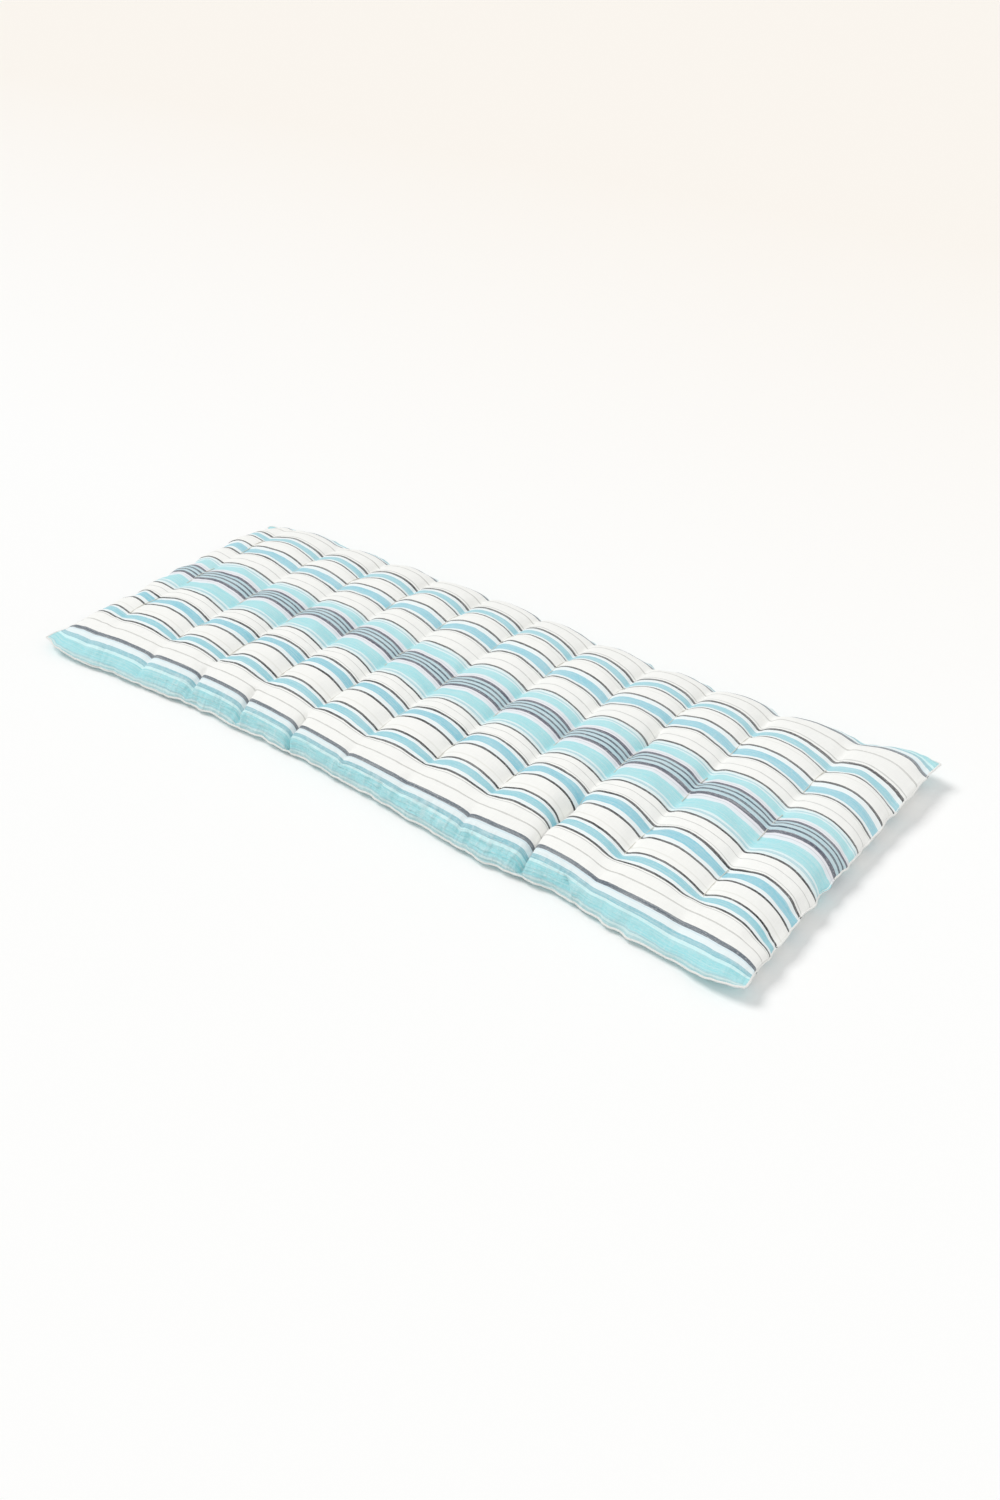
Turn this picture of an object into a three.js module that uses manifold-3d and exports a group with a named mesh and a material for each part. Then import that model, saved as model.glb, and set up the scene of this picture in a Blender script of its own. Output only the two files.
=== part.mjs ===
// Tufted futon mattress: two cotton panels sewn into a knife-edge cover, two
// felt batts inside it, and eleven running twines that pull the four layers
// together and leave twelve pillows across the mattress.
// Millimetres, +Z up. The mattress lies on z = 0 with its centre on the Z axis,
// its length along X and its width along Y.
import * as THREE from 'three';
import { mergeVertices } from 'three/addons/utils/BufferGeometryUtils.js';
import Module from 'manifold-3d';

const wasm = await Module();
wasm.setup();

// Overall size
const LENGTH = 1800;
const WIDTH = 730; // across the corners, where the mattress is widest
const CREST_HEIGHT = 88; // top of a pillow above the floor
const SLACK_PILLOWS = [22, 6]; // how much lower the first pillows at the -X end lie
const VALLEY_HEIGHT = 54; // top of the cover where a twine holds it down

// Cover
const CLOTH = 1.6; // thickness of a panel
const SEAM_HEIGHT = 16; // middle of the edge seam above the floor
const SEAM_ROPE = 3; // thickness of the oversewn edge
const END_ROLL = 74; // how far in from a short end the top rounds over
const BASE_ROLL = 34; // how far in from the edge the underside lifts
const SIDE_WAIST = 28; // how far the long sides pull in between the corners
const END_WAIST = 9; // how far the short ends pull in

// Twines: each runs across the mattress, up through the layers and down again
const COLUMNS = 11; // twines, one behind another along X
const ROWS = 6; // places along each twine where it goes through
const END_MARGIN = 135; // from a short end to the nearest twine, before drift
const SIDE_MARGIN = 142; // from a long side to the outer row, where the top levels out
const COLUMN_OFFSET = -14; // the columns all sit this far towards -X
const COLUMN_DRIFT = [-4, 15, 8, 3, 1, -2, 0, 3, -7, -10, 4]; // sewn by eye
const TWINE = 2.4; // diameter
const TWINE_BEND = 2; // a twine cuts each corner of its route by this much
const KNOT = 6.4; // diameter
const GROOVE_DEPTH = 11; // how far a twine lifts the underside
const GROOVE_HALF = 26; // half the width of that groove

// Filling
const LOWER_BATT = 24; // top of the flat lower batt above the floor

// Fits
const GAP = 0.35; // between pieces that touch
const HOLE_CLEARANCE = 0.45; // all round a twine where it goes through

// Form of the curves
const PILLOW_POWER = 2.3; // 2 is a parabola, and more gives a fuller pillow
const SIDE_POWER = 1.6; // 2 is a quarter ellipse, and less gives a flatter side
const END_POWER = 2; // the same at the two short ends
const WAIST_POWER = 4; // more keeps the sides straighter up to the corners
const EDGE_VALLEY = 0.1; // share of a valley's depth that is left at a long side

// Facets
const SIDE_STEPS = 3; // round each rolled long side
const END_STEPS = 2; // round each rolled end
const TWINE_SIDES = 6;
const SEAM_SIDES = 4;
const HOLE_SIDES = 3; // a tufting needle has a three-cornered point
const CLOSEST_LINES = 1; // grid lines nearer than this are one line
const WELD = 1e-4; // vertices nearer than this are one vertex

const halfLength = LENGTH / 2;
const halfWidth = WIDTH / 2;
const outerRow = halfWidth - SIDE_MARGIN;
const outerColumn = halfLength - END_MARGIN;
const grooveRunout = SIDE_MARGIN / SIDE_STEPS; // past the outer row of twine
const topEdge = SEAM_HEIGHT + SEAM_ROPE / 2 + GAP;
const baseEdge = SEAM_HEIGHT - SEAM_ROPE / 2 - GAP;

const evenly = (count, reach) =>
  Array.from({ length: count }, (_, i) => reach * ((2 * i) / (count - 1) - 1));
const rows = evenly(ROWS, outerRow);
const columns = evenly(COLUMNS, outerColumn).map(
  (x, i) => x + COLUMN_OFFSET + (COLUMN_DRIFT[i] ?? 0),
);
const evenGap = (2 * outerColumn) / (COLUMNS - 1);
const crests = columns.slice(1).map((right, i) => (columns[i] + right) / 2);
const pillowMiddles = [columns[0] - evenGap / 2, ...crests, columns.at(-1) + evenGap / 2];

const finishes = {
  panel: new THREE.MeshStandardMaterial({ color: 0xb9e3ea, roughness: 0.92 }),
  batt: new THREE.MeshStandardMaterial({ color: 0xf1ebdd, roughness: 1 }),
  twine: new THREE.MeshStandardMaterial({ color: 0xf6f3ea, roughness: 0.85 }),
  seam: new THREE.MeshStandardMaterial({ color: 0xf4f6f4, roughness: 0.9 }),
};
for (const finish of Object.values(finishes)) finish.metalness = 0;

// ---- Shape of the quilted faces -------------------------------------------
// A place on a face is given by s along X and t along Y, as on the flat cloth.
// Both faces and the edge seam put the same s and t at the same place in plan,
// so they meet along one outline whatever the sizes.

// 0 at the edge, rising to 1 a roll's width inside it along a quarter of a
// superellipse of the given power.
function quarterRise(inset, roll, power = 2) {
  const out = 1 - THREE.MathUtils.clamp(inset / roll, 0, 1);
  return (1 - out ** power) ** (1 / power);
}

// Where a point of the cloth comes to lie once its edge has rolled over. Even
// steps of s inside the roll give even steps round the superellipse.
function rolledPlace(s, half, roll, power) {
  const inset = half - Math.abs(s);
  if (inset >= roll) return s;
  const angle = ((Math.PI / 2) * inset) / roll;
  return Math.sign(s) * (half - roll + roll * Math.cos(angle) ** (2 / power));
}

const placeAlong = (s) => rolledPlace(s, halfLength, END_ROLL, END_POWER);
const placeAcross = (t) => rolledPlace(t, halfWidth, SIDE_MARGIN, SIDE_POWER);

// How far each face has come from its edge at height 0 to its full height 1.
function topRise(x, y) {
  const fromEnd = quarterRise(halfLength - Math.abs(x), END_ROLL, END_POWER);
  return fromEnd * quarterRise(halfWidth - Math.abs(y), SIDE_MARGIN, SIDE_POWER);
}

function baseRise(x, y) {
  const fromEnd = quarterRise(halfLength - Math.abs(x), BASE_ROLL);
  return fromEnd * quarterRise(halfWidth - Math.abs(y), BASE_ROLL);
}

// Pulls the sides in between the corners, so that the corners flare out.
function plan(x, y, z) {
  const alongX = 1 - Math.abs(x / halfLength) ** WAIST_POWER;
  const alongY = 1 - Math.abs(y / halfWidth) ** WAIST_POWER;
  return new THREE.Vector3(
    x * (1 - (END_WAIST / halfLength) * alongY),
    y * (1 - (SIDE_WAIST / halfWidth) * alongX),
    z,
  );
}

// 0 on a column of twine and 1 on the crest of a pillow. The two end pillows
// rise over the same width as a pillow between two even columns.
function pillow(s) {
  const right = columns.find((c) => c > s) ?? Infinity;
  const left = columns.findLast((c) => c <= s) ?? -Infinity;
  const gap = Number.isFinite(right - left) ? right - left : evenGap;
  const away = Math.min(s - left, right - s) / (gap / 2);
  return 1 - (1 - Math.min(away, 1)) ** PILLOW_POWER;
}

// Height of the crests, which climbs from pillow to pillow at the slack end.
function crestHeight(s) {
  const passed = pillowMiddles.findLastIndex((middle) => middle <= s);
  const k = THREE.MathUtils.clamp(passed, 0, COLUMNS - 1);
  const [from, to] = [pillowMiddles[k], pillowMiddles[k + 1]];
  const share = THREE.MathUtils.clamp((s - from) / (to - from), 0, 1);
  const [here, next] = [SLACK_PILLOWS[k] ?? 0, SLACK_PILLOWS[k + 1] ?? 0];
  return CREST_HEIGHT - THREE.MathUtils.lerp(here, next, share);
}

// 1 between the outer rows of twine, falling off towards the long sides.
function valleyDepth(t) {
  const past = Math.max(Math.abs(t) - outerRow, 0);
  return 1 - ((1 - EDGE_VALLEY) * past) / SIDE_MARGIN;
}

// The outside of the top panel.
function topFace(s, t) {
  const [x, y] = [placeAlong(s), placeAcross(t)];
  const crest = crestHeight(s);
  const dip = (crest - VALLEY_HEIGHT) * (1 - pillow(s)) * valleyDepth(t);
  return plan(x, y, topEdge + (crest - dip - topEdge) * topRise(x, y));
}

// The outside of the bottom panel, flat on the floor between its grooves.
function baseFace(s, t) {
  const [x, y] = [placeAlong(s), placeAcross(t)];
  const nearest = Math.min(...columns.map((c) => Math.abs(s - c)));
  const across = Math.max(1 - nearest / GROOVE_HALF, 0);
  const past = Math.max(Math.abs(t) - outerRow, 0);
  const along = Math.max(1 - past / grooveRunout, 0);
  const fall = baseEdge * (1 - baseRise(x, y));
  return plan(x, y, fall + GROOVE_DEPTH * across * along);
}

// Where a twine goes through. The twines run straight across the mattress,
// from outer row to outer row.
function stitch(column, row, z) {
  return plan(column, row, z).setX(plan(column, outerRow, z).x);
}

// Which way leads out of the cover at a place on its edge: along X at an end,
// along Y at a long side, and both at a corner. Zero anywhere inside.
function outwards(s, t) {
  const onEnd = Math.abs(s) >= halfLength ? Math.sign(s) : 0;
  const onSide = Math.abs(t) >= halfWidth ? Math.sign(t) : 0;
  return new THREE.Vector3(onEnd, onSide, 0);
}

// A face moved in from the outside by a distance at right angles to itself,
// and level along the edge by a distance of its own.
function inset(face, distance, edgeDistance = distance) {
  const step = CLOSEST_LINES / 2;
  const inwards = face === baseFace ? distance : -distance;
  return (s, t) => {
    const outward = outwards(s, t);
    if (outward.lengthSq() > 0) return face(s, t).addScaledVector(outward, -edgeDistance);
    const alongS = face(s + step, t).sub(face(s - step, t));
    const alongT = face(s, t + step).sub(face(s, t - step));
    const normal = alongS.cross(alongT).normalize();
    return face(s, t).addScaledVector(normal, inwards);
  };
}

// ---- Solids ----------------------------------------------------------------

// Grid lines of a face in one direction: even steps round both rolled edges,
// and the given lines between them.
function gridLines(half, roll, steps, inner) {
  const reach = half - roll;
  const turn = Array.from({ length: steps + 1 }, (_, i) => half - (roll * i) / steps);
  const lines = [...turn, ...turn.map((v) => -v), ...inner.filter((v) => Math.abs(v) < reach)];
  lines.sort((a, b) => a - b);
  return lines.filter((v, i) => i === 0 || v - lines[i - 1] > CLOSEST_LINES);
}

const lengthLines = gridLines(halfLength, END_ROLL, END_STEPS, [
  ...columns.flatMap((c) => [c - GROOVE_HALF, c, c + GROOVE_HALF]),
  ...crests,
]);
const widthLines = gridLines(halfWidth, SIDE_MARGIN, SIDE_STEPS, []);

// Walks once round the edge of a grid, counter-clockwise from above.
function edgeWalk(sLines, tLines) {
  const lastS = sLines.length - 1;
  const lastT = tLines.length - 1;
  const walk = [];
  for (let i = 0; i < lastS; i++) walk.push([i, 0]);
  for (let j = 0; j < lastT; j++) walk.push([lastS, j]);
  for (let i = lastS; i > 0; i--) walk.push([i, lastT]);
  for (let j = lastT; j > 0; j--) walk.push([0, j]);
  return walk;
}

function indexedGeometry(points, index) {
  const geometry = new THREE.BufferGeometry().setFromPoints(points);
  geometry.setIndex(index);
  return geometry;
}

// A closed solid between two faces drawn on the same grid, with a wall round
// its edge.
function solidBetween(lower, upper) {
  const across = widthLines.length;
  const layer = lengthLines.length * across;
  const points = [lower, upper].flatMap((face) =>
    lengthLines.flatMap((s) => widthLines.map((t) => face(s, t))),
  );
  const index = [];
  const quad = (a, b, c, d) => index.push(a, b, c, a, c, d);
  const low = (i, j) => i * across + j;
  const high = (i, j) => layer + low(i, j);
  for (let i = 0; i + 1 < lengthLines.length; i++) {
    for (let j = 0; j + 1 < across; j++) {
      quad(high(i, j), high(i + 1, j), high(i + 1, j + 1), high(i, j + 1));
      quad(low(i, j), low(i, j + 1), low(i + 1, j + 1), low(i + 1, j));
    }
  }
  const walk = edgeWalk(lengthLines, widthLines);
  walk.forEach(([i, j], k) => {
    const [nextI, nextJ] = walk[(k + 1) % walk.length];
    quad(low(i, j), low(nextI, nextJ), high(nextI, nextJ), high(i, j));
  });
  return indexedGeometry(points, index);
}

// A ring of the given section that follows the edge of the cover, on the grid
// lines of the faces. Each point of the section is a distance in from the edge
// and a height.
function edgeRing(section) {
  const across = section.length;
  const points = edgeWalk(lengthLines, widthLines).flatMap(([i, j]) => {
    const [s, t] = [lengthLines[i], widthLines[j]];
    const outward = outwards(s, t);
    return section.map(([inwards, z]) =>
      plan(placeAlong(s), placeAcross(t), z).addScaledVector(outward, -inwards),
    );
  });
  const index = [];
  for (let k = 0; k < points.length / across; k++) {
    for (let m = 0; m < across; m++) {
      const [a, b] = [k * across + m, k * across + ((m + 1) % across)];
      const [c, d] = [b, a].map((v) => (v + across) % points.length);
      index.push(a, c, b, a, d, c);
    }
  }
  return indexedGeometry(points, index);
}

function toManifold(geometry) {
  const bare = geometry.clone();
  bare.deleteAttribute('normal');
  bare.deleteAttribute('uv');
  const merged = mergeVertices(bare, WELD);
  return new wasm.Manifold(
    new wasm.Mesh({
      numProp: 3,
      vertProperties: merged.attributes.position.array,
      triVerts: new Uint32Array(merged.index.array),
    }),
  );
}

function toGeometry(solid) {
  const { vertProperties, triVerts } = solid.getMesh();
  const geometry = new THREE.BufferGeometry();
  geometry.setAttribute('position', new THREE.BufferAttribute(vertProperties, 3));
  geometry.setIndex(new THREE.BufferAttribute(triVerts, 1));
  geometry.computeVertexNormals();
  return geometry;
}

// One passage, a corner to the front, wherever a twine goes through.
function passages() {
  const corner = (TWINE / 2 + HOLE_CLEARANCE) / Math.cos(Math.PI / HOLE_SIDES);
  const bar = new THREE.CylinderGeometry(corner, corner, 4 * CREST_HEIGHT, HOLE_SIDES);
  bar.rotateX(Math.PI / 2);
  const bars = columns.flatMap((s) =>
    rows.map((t) => {
      const { x, y } = stitch(s, t, 0);
      return toManifold(bar.clone().translate(x, y, 0));
    }),
  );
  return bars.reduce((all, one) => all.add(one));
}

const twineHoles = passages();

function topCover() {
  const panel = solidBetween(inset(topFace, CLOTH), topFace);
  return toGeometry(toManifold(panel).subtract(twineHoles));
}

function bottomCover() {
  const panel = solidBetween(baseFace, inset(baseFace, CLOTH));
  return toGeometry(toManifold(panel).subtract(twineHoles));
}

// The filling takes up the inside of the cover, clear of the edge seam, and is
// cut level into two batts.
function batt(from, to) {
  const room = CLOTH + GAP;
  const edge = SEAM_ROPE + GAP;
  const filling = solidBetween(inset(baseFace, room, edge), inset(topFace, room, edge));
  const slab = new THREE.BoxGeometry(2 * LENGTH, 2 * WIDTH, to - from);
  slab.translate(0, 0, (from + to) / 2);
  return toGeometry(toManifold(filling).intersect(toManifold(slab)).subtract(twineHoles));
}

// The corners of a regular polygon, as [across, up] pairs.
function polygon(sides, radius, firstAngle) {
  return Array.from({ length: sides }, (_, m) => {
    const angle = firstAngle + (2 * Math.PI * m) / sides;
    return [radius * Math.cos(angle), radius * Math.sin(angle)];
  });
}

// The oversewn edge that joins the two panels all round. A flat of its section
// faces the filling, so that it keeps its distance from the batts.
function edgeSeam() {
  const middle = SEAM_ROPE / 2;
  const halfStep = Math.PI / SEAM_SIDES;
  const corners = polygon(SEAM_SIDES, middle / Math.cos(halfStep), halfStep);
  return edgeRing(corners.map(([across, up]) => [middle - across, SEAM_HEIGHT + up]));
}

// A route that an extrusion follows from one given point straight to the next.
class Route extends THREE.Curve {
  constructor(points) {
    super();
    this.points = points;
  }

  getPointAt(u) {
    return this.points[Math.round(u * (this.points.length - 1))].clone();
  }

  getTangentAt(u) {
    const last = this.points.length - 1;
    const k = Math.round(u * last);
    const before = this.points[Math.max(k - 1, 0)];
    const after = this.points[Math.min(k + 1, last)];
    return after.clone().sub(before).normalize();
  }
}

// How far the centre of a round piece is from the bottom of a V whose sides
// have the given slope, when it lies in the V with the gap on both sides.
function seatInValley(radius, slope) {
  return (radius + GAP) * Math.hypot(1, slope);
}

// Heights at which round pieces of a radius lie over and under the mattress,
// where the twine of this column holds it together.
function seats(column, radius) {
  const shoulders = [-GROOVE_HALF, GROOVE_HALF].map((d) => topFace(column + d, 0).z);
  const steepest = (Math.max(...shoulders) - VALLEY_HEIGHT) / GROOVE_HALF;
  return {
    over: VALLEY_HEIGHT + seatInValley(radius, steepest),
    under: GROOVE_DEPTH - seatInValley(radius, GROOVE_DEPTH / GROOVE_HALF),
  };
}

// From a knot under the first row, up through it, over to the next row, down,
// along the underside to the third, and so on to a knot at the last row.
function twineRoute(column) {
  const strand = seats(column, TWINE / 2);
  const knot = seats(column, KNOT / 2);
  const route = [stitch(column, rows[0], knot.under)];
  for (let k = 0; k + 1 < ROWS; k++) {
    const isOver = k % 2 === 0;
    const level = isOver ? strand.over : strand.under;
    const bendLevel = level + (isOver ? -TWINE_BEND : TWINE_BEND);
    const bend = new THREE.Vector3(0, TWINE_BEND, 0);
    route.push(
      stitch(column, rows[k], bendLevel),
      stitch(column, rows[k], level).add(bend),
      stitch(column, rows[k + 1], level).sub(bend),
      stitch(column, rows[k + 1], bendLevel),
    );
  }
  route.push(stitch(column, rows[ROWS - 1], ROWS % 2 === 0 ? knot.under : knot.over));
  return route;
}

function tuftingTwine(column) {
  const route = twineRoute(column);
  const corners = polygon(TWINE_SIDES, TWINE / 2, 0);
  const section = corners.map(([x, y]) => new THREE.Vector2(x, y));
  const strand = new THREE.ExtrudeGeometry(new THREE.Shape(section), {
    steps: route.length - 1,
    extrudePath: new Route(route),
  });
  const knots = [route[0], route.at(-1)].map((at) => {
    const knot = new THREE.IcosahedronGeometry(KNOT / 2);
    return toManifold(knot.translate(at.x, at.y, at.z));
  });
  return toGeometry(knots.reduce((all, knot) => all.add(knot), toManifold(strand)));
}

// ---- Assembly --------------------------------------------------------------

const mattress = new THREE.Group();

function addPiece(name, geometry, finish) {
  const mesh = new THREE.Mesh(geometry, finish);
  mesh.name = name;
  mattress.add(mesh);
}

addPiece('bottom_cover', bottomCover(), finishes.panel);
addPiece('lower_batt', batt(0, LOWER_BATT), finishes.batt);
addPiece('upper_batt', batt(LOWER_BATT + GAP, CREST_HEIGHT), finishes.batt);
addPiece('top_cover', topCover(), finishes.panel);
addPiece('edge_seam', edgeSeam(), finishes.seam);
columns.forEach((column, i) => {
  const number = String(i + 1).padStart(2, '0');
  addPiece(`tufting_twine_${number}`, tuftingTwine(column), finishes.twine);
});

export default mattress;
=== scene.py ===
"""Tufted futon mattress in a striped cotton cover.

The top and bottom panels of the cover are grown from grids, swollen by a cloth
simulation between the tufting twines, and then creased and puckered along their
seam. The twines, the oversewn edge and the two felt batts are pieces of their own.
Lengths are in millimetres until a mesh is written in metres.
"""

import logging
import math
from dataclasses import dataclass
from enum import Enum
from typing import Sequence

import bmesh
import bpy
import numpy as np
from mathutils import Matrix, Vector


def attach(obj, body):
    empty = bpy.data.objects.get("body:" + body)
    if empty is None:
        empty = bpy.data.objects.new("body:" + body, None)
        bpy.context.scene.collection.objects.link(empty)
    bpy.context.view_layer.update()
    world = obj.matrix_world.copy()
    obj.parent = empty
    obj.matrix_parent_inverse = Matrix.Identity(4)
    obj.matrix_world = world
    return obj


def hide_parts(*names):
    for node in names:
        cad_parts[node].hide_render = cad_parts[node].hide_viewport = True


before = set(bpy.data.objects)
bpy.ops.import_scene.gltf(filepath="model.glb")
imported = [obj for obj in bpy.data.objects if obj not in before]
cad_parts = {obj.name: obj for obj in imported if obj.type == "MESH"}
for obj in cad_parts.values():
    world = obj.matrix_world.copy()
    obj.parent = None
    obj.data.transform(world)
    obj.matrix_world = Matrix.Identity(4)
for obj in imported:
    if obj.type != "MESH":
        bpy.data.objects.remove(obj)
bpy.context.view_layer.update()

LOG = logging.getLogger("futon")
MM = 0.001
ROWS = 6  # places where a twine goes through
SEAM_OUT = 345.0  # from the middle to a long seam, before the outline is drawn in
FLOOR_GAP = 0.3  # the cloth stays this far above the floor
Socket = bpy.types.NodeSocket
Grid = np.ndarray


# ---- Form of the pad --------------------------------------------------------


def smooth(low: float, high: float, value: Grid) -> Grid:
    """A smooth step from 0 at low to 1 at high."""
    share = np.clip((value - low) / (high - low), 0.0, 1.0)
    return share * share * (3.0 - 2.0 * share)


def hump(centre: float, reach: float, value: Grid) -> Grid:
    """A smooth hump, 1 at the centre and 0 beyond its reach."""
    return smooth(0.0, 1.0, 1.0 - np.abs(value - centre) / reach)


class Unevenness:
    """Smooth random height over a plane, the same in every run."""

    def __init__(self, seed: int, along: float, across: float) -> None:
        """Draws heights that lie this far apart along and across the mattress."""
        self.cell = (along, across)
        self.grid = np.random.default_rng(seed).uniform(-1.0, 1.0, (512, 128))

    def __call__(self, s: Grid, t: Grid) -> Grid:
        """Looks heights up.

        Args:
            s: Places along the mattress.
            t: Places across it.

        Returns:
            Heights from -1 to 1.
        """
        u = (s + 1500.0) / self.cell[0]
        v = (t + 600.0) / self.cell[1]
        i, j = np.floor(u).astype(int), np.floor(v).astype(int)
        fu, fv = smooth(0, 1, u - i), smooth(0, 1, v - j)
        near, far = (
            self.grid[i % 512, row % 128] * (1 - fu) + self.grid[(i + 1) % 512, row % 128] * fu
            for row in (j, j + 1)
        )
        return near * (1 - fv) + far * fv


@dataclass(frozen=True)
class Roll:
    """How the cloth comes down from the level top to the seam."""

    start: float  # distance from the middle where it leaves the level
    end: float  # distance from the middle of the seam
    drop: float  # how far it comes down
    power: float  # 2 is a quarter ellipse, and less is flatter

    def table(self) -> tuple[Grid, Grid, Grid]:
        """The curve as a table.

        Returns:
            Length of cloth from the middle, distance from the middle, and the
            share of the height that is left.
        """
        angle = np.linspace(math.pi / 2, 0.0, 400)
        out = self.start + (self.end - self.start) * np.cos(angle) ** (2 / self.power)
        height = self.drop * np.sin(angle) ** (2 / self.power)
        out, height = np.r_[0.0, out], np.r_[self.drop, height]
        cloth = np.r_[0.0, np.cumsum(np.hypot(np.diff(out), np.diff(height)))]
        return cloth, out, height / self.drop


@dataclass(frozen=True)
class Settled:
    """A place where the felt has settled and the pillows stand lower."""

    along: float  # its middle along the mattress
    across: float
    reach_along: float
    reach_across: float
    depth: float


@dataclass(frozen=True)
class Crease:
    """A fold at a twine that runs deeper than the valley it lies in."""

    column: int  # number of the twine, from 0
    near: float  # where it starts across the mattress
    far: float  # where it ends
    depth: float
    reach: float = 9.0  # how far to either side it pulls the cloth down


class Side(Enum):
    """The two panels of the cover."""

    TOP = 1
    BOTTOM = -1


@dataclass(frozen=True)
class PadForm:
    """The stuffed pad: where each place of the flat cloth comes to lie.

    A place is s along the mattress and t across it, measured on the cloth from
    the middle. The seam is at half_cloth.
    """

    columns: tuple[float, ...]
    row_pitch: float
    valley: float = 60.0
    crests: tuple[float, ...] = (64, 78, 83, 85, 85, 85, 85, 86, 85, 86, 84, 78)
    fullness: float = 0.97  # section of a pillow, 1 is half an ellipse
    half_cloth: float = 377.0
    border: float = 315.0  # the dark line along the shoulder, on the cloth
    border_out: tuple[float, float] = (301.0, 309.0)  # the same on the mattress
    front: Roll = Roll(start=190.0, end=SEAM_OUT, drop=74.0, power=1.75)
    back: Roll = Roll(start=230.0, end=SEAM_OUT, drop=74.0, power=2.0)
    right: Roll = Roll(start=800.0, end=892.0, drop=66.0, power=2.0)
    left: Roll = Roll(start=812.0, end=893.0, drop=48.0, power=1.5)
    groove: float = 11.0
    groove_reach: float = 26.0
    creases: tuple[Crease, ...] = (
        Crease(8, -SEAM_OUT, -130, 20, 8),
        Crease(8, 40, 110, 9, 7),
        Crease(4, -SEAM_OUT, -262, 17, 7),
        Crease(3, -SEAM_OUT, -268, 15, 7),
        Crease(2, -SEAM_OUT, -275, 11, 7),
        Crease(1, -SEAM_OUT, -290, 6, 8),
        Crease(5, -330, -285, 4, 8),
        Crease(7, -335, -290, 4, 8),
        Crease(2, -262, -238, 8, 7),
    )
    settled: tuple[Settled, ...] = (
        Settled(-90, 25, 210, 150, 8),
        Settled(-470, 120, 260, 190, 9),
    )

    @property
    def rows(self) -> list[float]:
        """Places of the tuft rows across the cloth."""
        return [self.row_pitch * (number - (ROWS - 1) / 2) for number in range(ROWS)]

    @property
    def outer_row(self) -> float:
        """Distance of the outer tuft row from the middle."""
        return self.rows[-1]

    @property
    def pillow_ends(self) -> Grid:
        """Where each pillow starts along the mattress, and where the last one ends."""
        return np.r_[self.columns[0] - 125.0, self.columns, self.columns[-1] + 165.0]

    def panel(self, side: Side, s: Grid, t: Grid) -> Grid:
        """The outside of one panel."""
        return self.top(s, t) if side is Side.TOP else self.base(s, t)

    def across(self, t: Grid) -> tuple[Grid, Grid]:
        """Where a place across the cloth lies, before the outline is drawn in.

        Args:
            t: Places across the cloth.

        Returns:
            Distance across, and the share of the height that is left.
        """
        y, left = np.zeros_like(t, float), np.ones_like(t, float)
        sides = zip((self.front, self.back), (-1.0, 1.0), self.border_out)
        for roll, sign, border_out in sides:
            cloth, out, share = roll.table()
            at_border = np.interp(border_out, out, cloth)
            slack = 13.0 if sign > 0 else 0.0
            knots = [0.0, 190.0, 254.0, self.border, self.half_cloth]
            runs = [at_border / self.border * knot - slack for knot in knots[1:3]]
            run = np.interp(sign * t, knots, [0.0, *runs, at_border, cloth[-1]])
            here = sign * t > 0
            y = np.where(here, sign * np.interp(run, cloth, out), y)
            left = np.where(here, np.interp(run, cloth, share), left)
        return y, left

    @property
    def reach(self) -> tuple[float, float]:
        """Cloth from the middle to the left and to the right end."""
        return self.left.table()[0][-1], self.right.table()[0][-1]

    def from_end(self, s: Grid) -> Grid:
        """Cloth between a place and the nearer short end."""
        left, right = self.reach
        return np.where(s < 0, left + s, right - s)

    def along(self, s: Grid) -> tuple[Grid, Grid]:
        """Where a place along the cloth lies, before the outline is drawn in.

        Args:
            s: Places along the cloth.

        Returns:
            Distance along, and the share of the height that is left.
        """
        x, left = np.array(s, float), np.ones_like(s, float)
        for roll, sign in ((self.left, -1.0), (self.right, 1.0)):
            cloth, out, share = roll.table()
            here = sign * s > 0
            x = np.where(here, sign * np.interp(sign * s, cloth, out), x)
            left = np.where(here, np.interp(sign * s, cloth, share), left)
        return x, left

    def away(self, x: Grid) -> Grid:
        """How far a place is from the nearest twine, 1 on the crest of a pillow.

        Args:
            x: Places along the mattress.

        Returns:
            Shares of half a pillow.
        """
        ends = self.pillow_ends
        i = np.clip(np.searchsorted(ends, x) - 1, 0, len(ends) - 2)
        left, right = ends[i], ends[i + 1]
        return np.clip(np.minimum(x - left, right - x) / ((right - left) / 2), 0, 1)

    def valley_share(self, x: Grid) -> Grid:
        """How far down the section of a pillow is.

        Args:
            x: Places along the mattress.

        Returns:
            Shares of the depth of the valley, 1 on a twine.
        """
        soft = 0.05 + 0.08 * smooth(430, 600, x)
        away = np.sqrt(self.away(x) ** 2 + soft**2) - soft
        low = np.sqrt(1 - (self.fullness * (1 - away)) ** 2)
        return (1 - low) / (1 - math.sqrt(1 - self.fullness**2))

    def crest(self, x: Grid, y: Grid) -> Grid:
        """Height of the pillows, drawn smoothly from one to the next.

        Args:
            x: Places along the mattress.
            y: Places across it.

        Returns:
            Heights above the floor.
        """
        ends = self.pillow_ends
        height = np.interp(x, (ends[:-1] + ends[1:]) / 2, self.crests)
        for place in self.settled:
            low = hump(place.along, place.reach_along, x)
            height = height - place.depth * low * hump(place.across, place.reach_across, y)
        return height

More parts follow.
